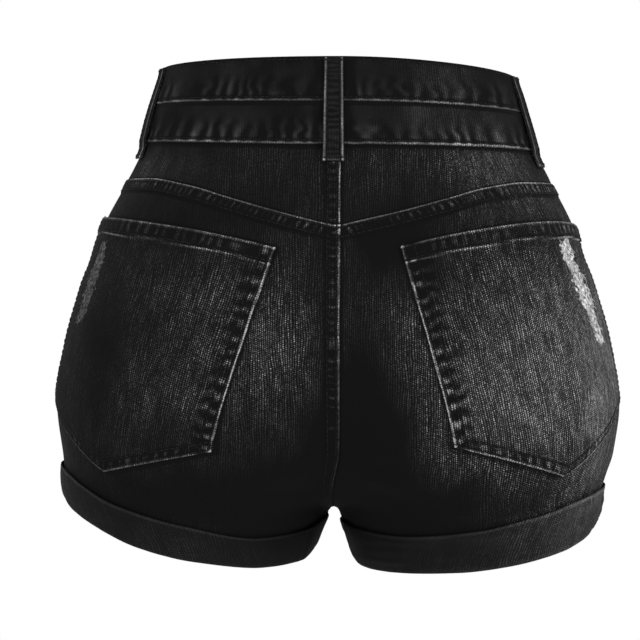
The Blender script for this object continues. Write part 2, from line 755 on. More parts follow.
def denim_material(name, layer, base, contrast):
    """Black denim: worn warp yarns, a fine twill, fades, worn ridges and frayed strips."""
    material, tree = new_material(name)
    place = tree.node("ShaderNodeUVMap", {"uv_map": "UVMap"}, {}, "UV")
    u, v, _ = tree.node("ShaderNodeSeparateXYZ", {}, {"Vector": place}, "X", "Y", "Z")
    across = u / (YARN * MM) + 3.2 * tree.grain(u, v, 11, 26, 2, layer + 2.2)
    yarn = across.math("FLOOR")
    ridge = (across.math("FRACT") * math.pi).math("SINE")
    slub = tree.grain(yarn * 0.0073, v, 1.0, 15, 2, layer).between(0.30, 0.74)
    pick = ((v / (PICK * MM) + yarn * 0.37) * (2 * math.pi)).math("SINE")
    dots = tree.grain(u, v, 0.8, 0.9, 1, layer + 5.7).between(0.30, 0.70)
    cloud = tree.grain(u, v, 9, 13, 3, layer + 8.2).between(0.25, 0.75)
    speck = 0.3 + 0.22 * pick + 0.6 * dots
    woven = 1.3 * ridge * speck * (0.55 + 0.45 * slub) + 0.16 * cloud
    inside = tree.attribute("inside")
    fade = tree.attribute("fade") * (1 - inside)
    depth = (fade.clip(-0.05, 0.10) * 6.2 + 0.42) * contrast
    worn = tree.attribute("wear") * (0.7 + 0.3 * dots)
    tone = fade + base + (woven - 0.43) * depth + worn
    tone = tone - 0.58 * tree.attribute("dark") + 0.2 * inside
    ragged = tree.grain(u, v, 3.4, 3.0, 4, layer + 11.3)
    bare = (tree.attribute("fray") + 1.6 * (ragged - 0.5)).between(0.42, 0.58) * tree.attribute("bleach")
    weft = tree.greys(tree.grain(u, v, 2.6, 2.2, 4, layer + 14.9).between(0.32, 0.66), WEFT_STOPS)
    links = {"Vector": tree.point(u * 330.0, v * 200.0, 0.0), "Scale": 1.0, "Distortion": 1.2}
    settings = {"wave_type": "BANDS", "bands_direction": "DIAGONAL"}
    twill = tree.node("ShaderNodeTexWave", settings, links, "Fac")
    links = {"Strength": 0.7, "Distance": 0.00022, "Height": 0.35 * twill + 0.6 * woven}
    finish_surface(tree, {
        "Base Color": tree.blend(bare, tree.greys(tone, TONE_STOPS), weft),
        "Roughness": 0.97 - 0.12 * woven,
        "Normal": tree.node("ShaderNodeBump", {}, links, "Normal"),
        "Sheen Weight": 0.006,
        "Sheen Roughness": 0.5,
        "Specular IOR Level": 0.02,
    })
    return material


def mottled(tree, size, detail):
    place = tree.node("ShaderNodeTexCoord", {}, {}, "Object")
    return tree.node("ShaderNodeTexNoise", {}, {"Vector": place, "Scale": size, "Detail": detail}, "Fac")


def thread_material(name, dark, light):
    material, tree = new_material(name)
    fibres = mottled(tree, 420.0, 2.0)
    links = {"Strength": 0.5, "Distance": 0.0001, "Height": fibres}
    finish_surface(tree, {
        "Base Color": tree.greys(fibres, [(0.3, dark), (0.7, light)]),
        "Roughness": 0.8,
        "Normal": tree.node("ShaderNodeBump", {}, links, "Normal"),
        "Specular IOR Level": 0.05,
    })
    return material


def metal_material():
    material, tree = new_material("button_metal")
    tarnish = mottled(tree, 260.0, 4.0)
    finish_surface(tree, {
        "Base Color": tree.greys(tarnish, [(0.35, 0.05), (0.65, 0.15)]),
        "Roughness": 0.2 + 0.5 * tarnish,
        "Metallic": 1.0,
    })
    return material


BODY_DENIM = denim_material("denim_body", 0.0, 0.045, 1.0)
BAND_DENIM = denim_material("denim_band", 21.0, 0.125, 0.4)
CUFF_DENIM = denim_material("denim_cuff", 43.0, 0.095, 0.5)
DARK_THREAD = thread_material("thread_dark", 0.004, 0.014)
BARE_THREAD = {1: thread_material("thread_white", 0.22, 0.55), -1: thread_material("thread_grey", 0.03, 0.08)}
BUTTON_METAL = metal_material()


# Cloth pieces


def fell_lap(z):
    return FELL_WIDTH / 2 * ease((z - CROTCH_Z - 3) / 40)


def middle_heights(facing, top, hem):
    """The heights of a panel's rows at its middle edge: down the rise to the fork, then down the leg."""
    fine = 5  # steps to each row
    z = mix(CROTCH_Z, top, (1 - np.linspace(0, 1, 401)) ** 3)
    p = on_body(1, np.full_like(z, facing), z)
    run = np.concatenate([[0], np.cumsum(np.linalg.norm(np.diff(p, axis=0), axis=1))])
    count = RISE_ROWS * fine
    rise = np.interp(np.arange(count + 1) / count * run[-1], run, z)
    leg = LEG_ROWS * fine
    return np.concatenate([rise, mix(CROTCH_Z, hem, np.arange(1, leg + 1) / leg)])


def lapped(s, total, lap, over):
    """Where a row's places lie, as shares of the way from the side seam to the middle, and as shares that
    reach 1 at the felled seam. The half that lies over runs past the middle, the other is tucked under it."""
    if over:
        share = s * (total + lap) / total
        return share, np.minimum(1, share)
    share = s * (total - lap + np.minimum(TUCK, lap)) / total
    return share, np.minimum(1, share * total / (total - lap))


def panel_grid(side, facing, top_line, pitch):
    def hem(around):
        return hem_line(side, around) + CLOTH + HEM_CLEAR

    top, foot = float(top_line(facing)), float(hem(facing))
    middles = middle_heights(facing, top, foot)
    s, v, _ = shares(PANEL_SIZE, pitch)
    turn = RISE_ROWS / (RISE_ROWS + LEG_ROWS)
    near = min(v[0, ::COARSE], key=lambda row: abs(row - turn))
    v = np.where(v < near, v * turn / near, 1 - (1 - v) * (1 - turn) / (1 - near))  # a row meets the fork
    wide, long = PANEL_SIZE
    edge = np.maximum(rounding(s * wide, wide), rounding(v * long, long))
    middle_z = np.interp(v, np.linspace(0, 1, len(middles)), middles)
    total = total_at(facing, middle_z)
    lap = fell_lap(middle_z) if facing > 0 else 0.0
    share, inner = lapped(s, total, lap, side < 0 < facing)
    dip = mix(2.3 if facing > 0 else 1.5, 1.2, ease(v * 1.5))

    def row_at(down, row_middle):
        return mix(mix(top_line(0), hem(0), down), row_middle, inner ** dip)

    fit_top = (top_line(facing * inner) - row_at(0, top)) * (1 - ease(v * 3))
    fit_hem = (hem(facing * inner) - row_at(1, foot)) * v ** 3
    z = row_at(v, middle_z) + fit_top + fit_hem
    around = facing * share
    return Grid(*surface(side, around, z)).placed(side, around, z, total, lap), edge


def calm(grid, wide=9.0):
    """Keeps the creases off the edges, where pieces meet."""
    return ease(np.minimum(np.minimum(grid.start, grid.end), np.minimum(grid.top, grid.foot)) / wide)


def cloth_uv(grid):
    """Warp lines that hang straight near the middle of a panel and follow the body's side further out."""
    p, z = grid.p, grid.z
    facing = -1 if np.mean(grid.around) < 0 else 1
    across = np.abs(p[..., 0] - oval(z)["middle"])
    share = across / smooth(FIGURE, "z", "width", z)
    from_side = total_at(facing, z) * np.abs(grid.around)
    level = np.full(1, -150.0)  # where both courses of the warp agree
    run = 0.46 * total_at(facing, level)
    offset = run + np.abs(on_arc(1, facing, run, level)[0, 0])
    u = mix(across, offset - from_side, ease((share - 0.5) / 0.45))
    return np.stack([grid.side * u + FRONT_SHIFT * (facing < 0), z], axis=-1)


def from_pocket(side, out, z):
    """Distance from the outline of the pocket on one side of the back."""
    corners = POCKETS[side]
    share = np.linspace(0, 1, 9)
    mouth = mix(np.array(corners["innerTop"])[:, None], np.array(corners["outerTop"])[:, None], share)
    mouth[1] += corners["bow"] * 4 * share * (1 - share)
    outline = [*mouth.T, *(corners[key] for key in ("outerFoot", "point", "innerFoot", "innerTop"))]
    near = np.full(out.shape, np.inf)
    for (ax, az), (bx, bz) in zip(outline[:-1], outline[1:]):
        dx, dz = bx - ax, bz - az
        along = np.clip(((out - ax) * dx + (z - az) * dz) / (dx * dx + dz * dz), 0, 1)
        near = np.minimum(near, np.hypot(out - ax - along * dx, z - az - along * dz))
    return near


def side_seam(grid, over, seed):
    """The seam down the body's side: a ridge on the back's pieces, over the front's pieces."""
    ridges = pucker(grid.top, grid.start, seed, 7.0) * bump(grid.start - 3, 4)
    grid.rise += 0.16 * ridges - 0.35 * bump(grid.start, 1.4)
    grid.wear += (0.3 * bump(grid.start - 1.5, 1.3) if over else 0) + 0.12 * np.maximum(0, ridges)
    grid.dark += 0.9 * bump(grid.start, 1.2) + 0.3 * np.maximum(0, -ridges)


def middle_seam(grid):
    """The felled seam down the middle of the back lies on the left side's pieces, over the right ones."""
    if grid.side > 0:
        inside = grid.around * grid.total - (grid.total - grid.lap)
        grid.rise -= 1.0 * ease((inside + 0.2) / 0.8)
        grid.dark += 0.8 * bump(inside + 0.6, 1.5)
        return
    tall = ease((grid.z - CROTCH_Z) / 12)
    grid.rise += FELL_RISE * ease((FELL_WIDTH - grid.end) / FELL_STEP) * tall
    grid.sewn("end", FELL_WIDTH - 1, 31, 0.42, 0.9, 5.4)
    grid.dark += 0.35 * bump(grid.end - FELL_WIDTH - 0.6, 2.2)


def back_panel(side):
    grid, edge = panel_grid(side, 1, lambda around: yoke_line(side, around), PITCH)
    out = out_of(side, grid.around, grid.z)
    folds = creased(side, grid.around, grid.z) * calm(grid)
    grid.rise += folds
    grid.rise += FELL_RISE * (1 - ease((grid.top - 8.9) / 0.9))
    grid.sewn("top", FELL_WIDTH - 1.2, 40 + side, 0.4, 0.9, 4.4)
    grid.dark += 0.7 * bump(grid.top - FELL_WIDTH - 0.3, 1.3)
    middle_seam(grid)
    side_seam(grid, True, 44 + side)
    grid.dark += 0.75 * bump(from_pocket(side, side * out, grid.z), 2.6)
    grid.rise -= edge * CLOTH * 0.75
    grid.build_panel("back_panel", "back", folds, "yoke_panel_" + side_name(side))
    return grid


def yoke(side):
    s, v, edge = shares(YOKE_SIZE, PITCH)
    level = mix(float(waist_line("under", side, 1)), float(yoke_line(side, 1)), v)
    total, lap = total_at(1, level), np.full_like(level, FELL_WIDTH / 2)
    share, inner = lapped(s, total, lap, side < 0)
    under, seam = waist_line("under", side, inner), yoke_line(side, inner)
    z = mix(under + TUCK, seam - TUCK, v)
    grid = Grid(*surface(side, share, z)).placed(side, share, z, total, lap)
    folds = creased(side, share, z) * calm(grid)
    grid.rise += folds
    grid.rise -= 0.5 * ease((z - under + 0.4) / 0.8) + 0.6 * ease((seam - z + 0.3) / 0.8)
    grid.dark += 1.0 * bump(z - under + 0.8, 2.4) + 0.6 * bump(seam - z + 0.2, 1.0)
    middle_seam(grid)
    side_seam(grid, True, 47 + side)
    grid.rise -= edge * CLOTH * 0.6
    grid.build_panel("yoke_panel", "yoke", folds, "waistband_lower_strip")
    return grid


def front_panel(side):
    grid, edge = panel_grid(side, -1, lambda around: waist_line("under", side, around) + TUCK, HIDDEN_PITCH)
    under = waist_line("under", side, grid.around)
    folds = creased(side, grid.around, grid.z) * calm(grid)
    grid.rise += folds
    grid.rise -= 0.5 * ease((grid.z - under + 0.4) / 0.8)
    grid.dark += 0.5 * bump(grid.z - under + 0.3, 1.5)
    grid.sewn("end", 7.5, 60 + side, 0.25, 0.45, 6.0, rows=side < 0)
    side_seam(grid, False, 64 + side)
    grid.rise -= edge * CLOTH * 0.6
    grid.build_panel("front_panel", "front", folds, "waistband_lower_strip")
    return grid


def frayed(side, out, z):
    """How bare the cloth is, from 1 on a strip's middle to 0 at a little beyond its edge."""
    rows = FRAYS[side]
    middle = np.interp(z, rows["z"][::-1], rows["out"][::-1])
    half = FRAY_NARROWING * np.interp(z, rows["z"][::-1], rows["half"][::-1], left=0, right=0)
    ends = ease((rows["z"][0] + 2 - z) / 4) * ease((z - rows["z"][-1] + 2) / 4)
    return np.clip(1.25 - np.abs(out - middle) / np.maximum(half, 0.5) * 0.75, 0, 1) * ends


def pocket(side):
    corners = POCKETS[side]
    s, v, edge = shares(POCKET_SIZE, PITCH)
    half = np.where(s > 0.5, s * 2 - 1, s * 2)

    def at(axis):
        first = np.where(s > 0.5, corners["point"][axis], corners["innerFoot"][axis])
        last = np.where(s > 0.5, corners["outerFoot"][axis], corners["point"][axis])
        mouth = mix(corners["innerTop"][axis], corners["outerTop"][axis], s)
        return mix(mouth, mix(first, last, half), v)

    out = at(0)
    z = at(1) + corners["bow"] * 4 * s * (1 - s) * (1 - v)
    total = total_at(1, z)
    p = on_arc(side, 1, total - out, z)
    grid = Grid(p, outward(p))
    around = 1 - out / total
    below = creased(side, around, z)
    hem = 1 - ease((grid.top - POCKET_HEM + 0.6) / 1.0)
    grid.rise += below + LAY_GAP + CLOTH + POCKET_HEM_RISE * hem
    sewn = np.minimum(np.minimum(grid.start, grid.end), grid.foot)
    grid.rise -= 0.55 * (1 - ease(sewn / 9)) * ease(grid.top / 14)
    gape = 0.9 * np.sin(math.pi * s) * ease(1 - grid.top / 26)
    grid.rise += gape
    grid.sewn("start", 8.0, 70 + side, 0.42, 1.05, 8.6)
    strip = bump(grid.start - 10, 8)
    bars = pucker(grid.top, grid.start, 70 + side, 8.6) * strip
    grid.rise += 0.4 * bars
    grid.wear += 0.36 * np.maximum(0, bars)
    grid.dark += 0.8 * np.maximum(0, -bars) + 0.14 * strip
    grid.sewn("end", 8.0, 80 + side, 0.3, 0.6, 7.0)
    grid.sewn("foot", 7.2, 90 + side, 0.28, 0.8, 6.4)
    grid.wear += 0.75 * bump(grid.top - 1.0, 1.9) * (0.85 + 0.15 * noise(grid.start / 9, 0.2, 98))
    grid.sewn("top", POCKET_HEM - 1.4, 94 + side, 0.26, 0.0, 8.0)
    grid.wear += 0.8 * bump(grid.top - POCKET_HEM - 0.1, 1.1)
    grid.dark += 0.4 * bump(grid.top - POCKET_HEM + 1.5, 0.8)
    grid.rise -= edge * CLOTH * 0.9
    fray = frayed(side, out, z)
    grid.rise -= 0.35 * fray
    uv = np.stack([side * s * POCKET_SIZE[0] + POCKET_SHIFT[0], z + POCKET_SHIFT[1]], axis=-1)
    grid.build("pocket_" + side_name(side), "back_pocket_" + side_name(side), BODY_DENIM, uv,
               faded(side * out, z), ["back_panel_" + side_name(side)], below + 0.1 + gape,
               fray=fray, bleach=BLEACH[side])
    grid.fray = fray
    return grid


def waist_path(length_step):
    """Places round the waist, from the start under the lap to the end that lies over it."""
    front, back = float(total_at(-1, 0.0)), float(total_at(1, 0.0))
    knots = np.cumsum([0, LAP_UNDER, front, back, back, front, LAP_OVER])
    s = marks(float(knots[-1]), length_step)
    leg = np.clip(np.searchsorted(knots, s, side="right") - 1, 0, 5)
    sides = np.array([-1, 1, 1, -1, -1, 1])[leg]
    starts = np.array([-1 + LAP_UNDER / front, -1, 0, 1, 0, -1])[leg]
    ends = np.array([-1, 0, 1, 0, -1, -1 + LAP_OVER / front])[leg]
    share = (s - knots[leg]) / np.diff(knots)[leg]
    duck = BAND_CLOTH + SEAM_GAP
    rise = -duck * (1 - np.clip((s - LAP_UNDER - 6) / 23, 0, 1))
    return s, sides, mix(starts, ends, share), rise


def waistband(name, node, top_key, foot_key, seed):
    s, sides, around, duck = waist_path(PITCH)
    rim = 1.2
    down = np.tile(marks(BAND_TALL, PITCH * 0.9, rim) / BAND_TALL, (len(s), 1))

    def line(key):
        return np.where(sides > 0, waist_line(key, 1, around), waist_line(key, -1, around))

    z = mix(line(top_key)[:, None], line(foot_key)[:, None], down)
    p, n = surface(sides[:, None], np.broadcast_to(around[:, None], z.shape), z)
    grid = Grid(p, n)
    wave = 0.4 * noise(s / 34, 0.5, seed + 2)[:, None] * ease(grid.start / 20) * ease(grid.end / 20)
    is_upper = top_key == "top"
    wave = wave * (1 if is_upper else 0.4)
    grid.rise += duck[:, None] + BAND_CLOTH / 2 + wave
    fading = ease(1 - np.maximum(0, grid.foot - 3) / 17)
    ridges = pucker(s[:, None], grid.foot, seed, 10.5) * fading * ease(grid.foot / 2)
    grid.rise += 0.5 * ridges
    grid.wear += 0.42 * np.maximum(0, ridges)
    grid.dark += 0.7 * np.maximum(0, -ridges)
    grid.dark += 0.3 * bump(np.abs(p[..., 0]) - 8, 7) * (p[..., 1] < 0)
    soft = noise(s / 15, 0.7, seed + 6)[:, None] + 0.6 * noise(s[:, None] / 9, z / 9, seed + 8)
    grid.wear += 0.13 * np.maximum(0, soft)
    grid.dark += 0.16 * np.maximum(0, -soft)
    grid.wear += 0.8 * bump(grid.foot - 0.75, 1.3) * (0.8 + 0.2 * noise(s / 8, 0.2, seed + 4))[:, None]
    grid.wear += 0.12 * bump(grid.top - 0.4, 1.0)
    grid.rise -= 0.22 * bump(grid.foot - 2.4, 0.8)
    grid.dark += 0.8 * bump(grid.foot - 2.6, 1.1) + (0.4 if is_upper else 1.0) * bump(grid.top - 0.9, 2.1)
    edge = np.maximum(rounding(down * BAND_TALL, BAND_TALL, rim), rounding(s, s[-1])[:, None])
    grid.rise -= edge * BAND_CLOTH * 0.5
    inner = duck[:, None] - BAND_CLOTH / 2 + edge * BAND_CLOTH * 0.5 + wave
    out = np.where(sides > 0, out_of(1, around, 0.0), out_of(-1, around, 0.0))[:, None]
    uv = np.stack([np.broadcast_to(s[:, None], z.shape), z], axis=-1)
    grid.build(name, node, BAND_DENIM, uv, faded(out, z), ["back_panel_right"], inner)
    return grid


def fly_flap():
    wide, long = FLY_SIZE
    s, v, rim = shares(FLY_SIZE, HIDDEN_PITCH)
    narrow = 1 - 0.86 * ease((v - 0.62) / 0.38) ** 1.4
    edge = mix(LAP_OVER, 1, ease((v - 0.6) / 0.4))
    x = mix(edge - wide * narrow, edge, s)
    z = waist_line("under", -1, -1.0) - SEAM_GAP - long * v
    grid = Grid(*surface(-1, -1 - x / total_at(-1, z), z))
    grid.rise += LAY_GAP + CLOTH
    grid.sewn("end", 7.0, 110, 0.2, 0.4, 6.0)
    grid.sewn("start", 6.0, 112, 0.25, 0.12, 6.0)
    grid.rise -= rim * CLOTH * 0.9
    grid.build("fly_front", "fly_flap", BODY_DENIM, np.stack([x + FLY_SHIFT, z], axis=-1),
               faded(-520 + x, z) + 0.04, ["front_panel_left"], np.full_like(x, 0.1))
    return grid


def belt_loop(name, side, around, seed):
    top = float(waist_line("top", side, around)) - 1
    foot = float(waist_line("under", side, around)) - 11
    sewn = BAND_CLOTH / 2 + SEAM_GAP
    course = table("z under", [
        (top, sewn),
        (top - 5, sewn),
        (top - 10, sewn + LOOP_SLACK * 0.2),
        (mix(top, foot, 0.35), sewn + LOOP_SLACK * 0.5),
        (mix(top, foot, 0.62), sewn + LOOP_SLACK),
        (foot + 12, sewn + LOOP_SLACK * 0.8),
        (foot + 5.5, FELL_RISE + SEAM_GAP),
        (foot, FELL_RISE + SEAM_GAP),
    ])
    long = top - foot
    a, t = np.meshgrid(marks(LOOP_WIDTH, 0.7, 0.9), marks(long, 0.9, 0.9), indexing="ij")
    z = top - t
    under = smooth(course, "z", "under", z)
    reach = (a - LOOP_WIDTH / 2) * side / float(total_at(-1 if around < 0 else 1, -5.0))
    grid = Grid(*surface(side, around - reach, z))
    middle = np.abs(a - LOOP_WIDTH / 2)
    ridges = pucker(t, a, seed, 3.6) * ease((4.2 - middle) / 1.5) * ease((long - t) / 6)
    grid.rise += under + LOOP_CLOTH - 0.35 * ease((4.4 - middle) / 1.2) + 0.16 * ridges
    uneven = 0.8 + 0.2 * noise(t / 6, a / 9, seed)
    grid.wear += 0.95 * bump(middle - 5.2, 1.3) * uneven + 0.2 * np.maximum(0, ridges)
    grid.wear += 0.4 * bump(long - t - 0.8, 1.2)
    grid.dark += 0.6 * bump(middle - 4.0, 0.8) + 0.4 * np.maximum(0, -ridges)
    edge = np.maximum(rounding(a, LOOP_WIDTH, 0.9), rounding(t, long, 0.9))
    grid.rise -= edge * LOOP_CLOTH * 0.5
    inner = under + edge * LOOP_CLOTH * 0.3
    grid.build(name + "_strap", name, BAND_DENIM, np.stack([a + seed * LOOP_SHIFT, z], axis=-1),
               faded(out_of(side, around - reach, z), z),
               ["waistband_upper_strip", "waistband_lower_strip"], inner)
    return grid


def cuff(side):
    """A turned-up cuff: one closed ring of folded cloth."""
    steps = 430
    around = np.linspace(-1, 1, steps, endpoint=False)
    height, hem = cuff_height(side, around), hem_line(side, around)
    rise = np.repeat(np.array([out for out, _, _ in CUFF_RINGS])[None, :], steps, axis=0)
    up = np.stack([share * height + added for _, share, added in CUFF_RINGS], axis=1)
    rise, up = [np.stack([0.75 * a + 0.25 * np.roll(a, -1, 1), 0.25 * a + 0.75 * np.roll(a, -1, 1)], -1)
                .reshape(steps, -1) for a in (rise, up)]
    share = np.clip(up / height[:, None], 0, 1)
    outer = ease((rise - 1.6) / 1.2)
    inside = np.where(rise < 1.3, 1.0, 0.0)
    ring = around[:, None]
    thinner = 1 - 0.7 * ease((np.abs(ring) - 0.82) / 0.14)  # towards the fork
    rise = np.minimum(rise, CUFF_FLOOR + (rise - CUFF_FLOOR) * thinner)
    u, w = 40 * np.cos(ring * math.pi), 40 * np.sin(ring * math.pi)  # a circle, so the noise has no seam
    waves = 0.5 * noise(u / 9 + 50, w / 9 + up / 17 + 50, 120 + side)
    fine = 0.2 * noise(u / 2.6 + 50, w / 2.6 + up / 9 + 50, 124 + side)
    folds = 0.55 * noise(u / 12 + 30, up / 3.1 + 20, 128 + side) * ease((side * 0.5 + 0.6))
    lift = (waves + fine + folds) * outer
    lip = outer * bump(share - 1, 0.16)
    lift += 0.5 * noise(u / 3.4 + 60, w / 3.4 + 60, 131 + side) * lip
    z = hem[:, None] + up
    p, n = surface(side, np.broadcast_to(ring, z.shape), z)
    rings = laid(p, n, rise + lift)
    count = rings.shape[1]
    index = np.arange(steps * count).reshape(steps, count)
    right, over = np.roll(index, -1, 0), np.roll(index, -1, 1)
    quads = np.stack([index, right, np.roll(right, -1, 1), over], -1).reshape(-1, 4)
    verts = rings.reshape(-1, 3)
    quads = facing_out(verts, quads)
    worn = 0.30 * bump(share - 0.965, 0.07) + 0.10 * bump(share - 0.02, 0.10)
    wear = outer * worn + 0.16 * np.maximum(0, folds) * outer
    fade = faded(out_of(side, np.broadcast_to(ring, z.shape), z), z) + 0.02
    fade += (0.17 if side > 0 else 0.05) * outer * np.exp(-((ring - 0.24) / 0.2) ** 2)
    paint = {"fade": fade, "wear": np.clip(wear, 0, 1), "inside": inside}
    run = np.broadcast_to((ring + 1) * CUFF_HALF * side, z.shape)
    uv = np.stack([run, up + side * CUFF_SHIFT], axis=-1)
    obj = make_mesh("cuff_turnup_" + side_name(side), verts, quads, [], uv.reshape(-1, 2), paint, CUFF_DENIM)
    round_leg = float(np.linalg.norm(np.diff(rings[:, CUFF_OUTSIDE], axis=0), axis=1).sum()) * MM
    tall = float(np.linalg.norm(np.diff(rings, axis=1), axis=-1).sum(axis=1).max()) * MM
    area = face_area(np.concatenate([rings, rings[:1]], axis=0)[:, :CUFF_SHEET])
    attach(obj, "root")
    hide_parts("cuff_" + side_name(side))
    "back_panel_" + side_name(side)
    print(f"sheet cuff {side_name(side)}: {round_leg:.3f} x {tall:.3f} m, {area:.4f} m2")


# Sewing and loose threads


def growth_tree(name, sizes):
    """A Geometry Nodes tree with named inputs for its sizes, and the values of those inputs."""
    group = bpy.data.node_groups.new(name, "GeometryNodeTree")
    group.interface.new_socket("Geometry", in_out="INPUT", socket_type="NodeSocketGeometry")
    group.interface.new_socket("Geometry", in_out="OUTPUT", socket_type="NodeSocketGeometry")
    for size in sizes:
        group.interface.new_socket(size, in_out="INPUT", socket_type="NodeSocketFloat")
    tree = Tree(group)
    names = ["Geometry", *sizes]
    return tree, dict(zip(names, tree.node("NodeGroupInput", {}, {}, *names)))


def thread_mesh(tree, start, middle, end, radius, sides):
    """A thread that arches from one point to another."""
    points = {"Resolution": 4, "Start": start, "Middle": middle, "End": end}
    course = tree.node("GeometryNodeCurveQuadraticBezier", {}, points, "Curve")
    section = tree.node("GeometryNodeCurvePrimitiveCircle", {"mode": "RADIUS"},
                        {"Resolution": sides, "Radius": radius}, "Curve")
    links = {"Curve": course, "Profile Curve": section, "Fill Caps": True}
    return tree.node("GeometryNodeCurveToMesh", {}, links, "Mesh")


def random_between(tree, low, high, seed):
    links = {"Min": low, "Max": high, "Seed": seed}
    return tree.node("FunctionNodeRandomValue", {"data_type": "FLOAT"}, links, "Value")


def strewn(tree, places, thread, axes, aims, sway, scale, material):
    """A copy of the thread at every place, its two named axes along the aims, then swayed about its own Z."""
    settings = {"primary_axis": axes[0], "secondary_axis": axes[1]}
    links = {"Primary Axis": aims[0], "Secondary Axis": aims[1]}
    turn = tree.node("FunctionNodeAxesToRotation", settings, links, "Rotation")
    sway = tree.node("FunctionNodeEulerToRotation", {}, {"Euler": tree.point(0, 0, sway)}, "Rotation")
    links = {"Rotation": turn, "Rotate By": sway}
    turn = tree.node("FunctionNodeRotateRotation", {"rotation_space": "LOCAL"}, links, "Rotation")
    links = {"Points": places, "Instance": thread, "Rotation": turn, "Scale": tree.point(*scale)}
    copies = tree.node("GeometryNodeInstanceOnPoints", {}, links, "Instances")
    mesh = tree.node("GeometryNodeRealizeInstances", {}, {"Geometry": copies}, "Geometry")
    mesh = tree.node("GeometryNodeSetMaterial", {}, {"Geometry": mesh, "Material": material}, "Geometry")
    tree.node("NodeGroupOutput", {}, {"Geometry": mesh})
    return tree.tree


def from_mesh(tree, kind, name):
    """A named attribute of the mesh that the tree starts from."""
    return tree.node("GeometryNodeInputNamedAttribute", {"data_type": kind}, {"Name": name}, "Attribute")


def stitch_tree(name, material):
    """Stitches along every path of the mesh, each a short thread that dips into the cloth at both ends."""
    tree, given = growth_tree(name, ["Stitch", "Gap", "Thread", "Lift"])
    half, dip = given["Stitch"] * 0.5, -1.2 * given["Lift"]
    stitch = thread_mesh(tree, tree.point(-half, 0, dip), tree.point(0, 0, given["Lift"] * 3.2),
                         tree.point(half, 0, dip), given["Thread"], 6)
    paths = tree.node("GeometryNodeMeshToCurve", {}, {"Mesh": given["Geometry"]}, "Curve")
    links = {"Curve": paths, "Length": given["Stitch"] + given["Gap"]}
    places = tree.node("GeometryNodeResampleCurve", {"mode": "LENGTH"}, links, "Curve")
    along = tree.node("GeometryNodeInputTangent", {}, {}, "Tangent")
    up = from_mesh(tree, "FLOAT_VECTOR", "up")
    sway = random_between(tree, -0.07, 0.07, 3)
    long, thick = random_between(tree, 0.88, 1.06, 5), random_between(tree, 0.88, 1.1, 7)
    return strewn(tree, places, stitch, "XZ", (along, up), sway, (long, thick, thick), material)


def fray_tree(name, material):
    """Short loose ends of the bared weft, thickest where the attribute fray is greatest."""
    tree, given = growth_tree(name, ["Density", "Length", "Thread", "Lift"])
    density = given["Density"] * from_mesh(tree, "FLOAT", "fray")
    links = {"Mesh": given["Geometry"], "Density": density, "Seed": 11}
    places, up = tree.node("GeometryNodeDistributePointsOnFaces", {"distribute_method": "RANDOM"}, links,
                           "Points", "Normal")
    long, lift = given["Length"], given["Lift"]
    thread = thread_mesh(tree, tree.point(0, 0, lift * -0.3), tree.point(long * 0.45, long * 0.1, lift * 1.8),
                         tree.point(long, long * -0.15, lift * 0.2), given["Thread"], 4)
    sway = random_between(tree, -0.9, 0.9, 17) + 3.14 * random_between(tree, 0, 2, 19).math("FLOOR")
    size = random_between(tree, 0.5, 1.3, 23)
    return strewn(tree, places, thread, "ZX", (up, (1.0, 0.0, 0.0)), sway, (size, 1, size), material)


def grown(obj, group, sizes):
    """Runs a tree on an object, whose mesh becomes the tree's result."""
    modifier = obj.modifiers.new(group.name, "NODES")
    modifier.node_group = group
    for item in group.interface.items_tree:
        if item.name in sizes:
            modifier[item.identifier] = float(sizes[item.name] * (1 if item.name == "Density" else MM))
    mesh = bpy.data.meshes.new_from_object(obj.evaluated_get(bpy.context.evaluated_depsgraph_get()))
    obj.modifiers.clear()
    plain_mesh, obj.data = obj.data, mesh
    bpy.data.meshes.remove(plain_mesh)
    mesh.polygons.foreach_set("use_smooth", np.ones(len(mesh.polygons), bool))
    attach(obj, "root")
    print(f"{obj.name}: {sum(len(polygon.vertices) - 2 for polygon in mesh.polygons)} triangles")


PATHS = {"seams": [], "edges": [], "bars": [], "holes": []}
# How each kind of stitch is sewn, all in millimetres
SEWING = {
    "seams": {"Stitch": 2.6, "Gap": 0.9, "Thread": 0.3, "Lift": 0.09},
    "edges": {"Stitch": 2.9, "Gap": 0.35, "Thread": 0.28, "Lift": 0.12},
    "bars": {"Stitch": 1.5, "Gap": 0.1, "Thread": 0.32, "Lift": 0.16},
    "holes": {"Stitch": 0.9, "Gap": 0.15, "Thread": 0.4, "Lift": 0.1},
}
FRAYING = {"Length": 3.4, "Thread": 0.15, "Lift": 0.5}


def sew(kind, *lines):
    """Notes lines of points and their outward directions, to be sewn along."""
    PATHS[kind].extend(line for line in lines if len(line[0]) > 1)


def sew_all(name, kind, material):
    verts = np.concatenate([points for points, _ in PATHS[kind]])
    ups = np.concatenate([up for _, up in PATHS[kind]])
    edges, first = [], 0
    for points, _ in PATHS[kind]:
        edges += [(first + k, first + k + 1) for k in range(len(points) - 1)]
        first += len(points)
    mesh = bpy.data.meshes.new(name)
    mesh.from_pydata((verts * MM).tolist(), edges, [])
    field = mesh.attributes.new("up", "FLOAT_VECTOR", "POINT")
    field.data.foreach_set("vector", ups.astype(np.float32).ravel())
    grown(in_scene(name, mesh), stitch_tree(name, material), SEWING[kind])


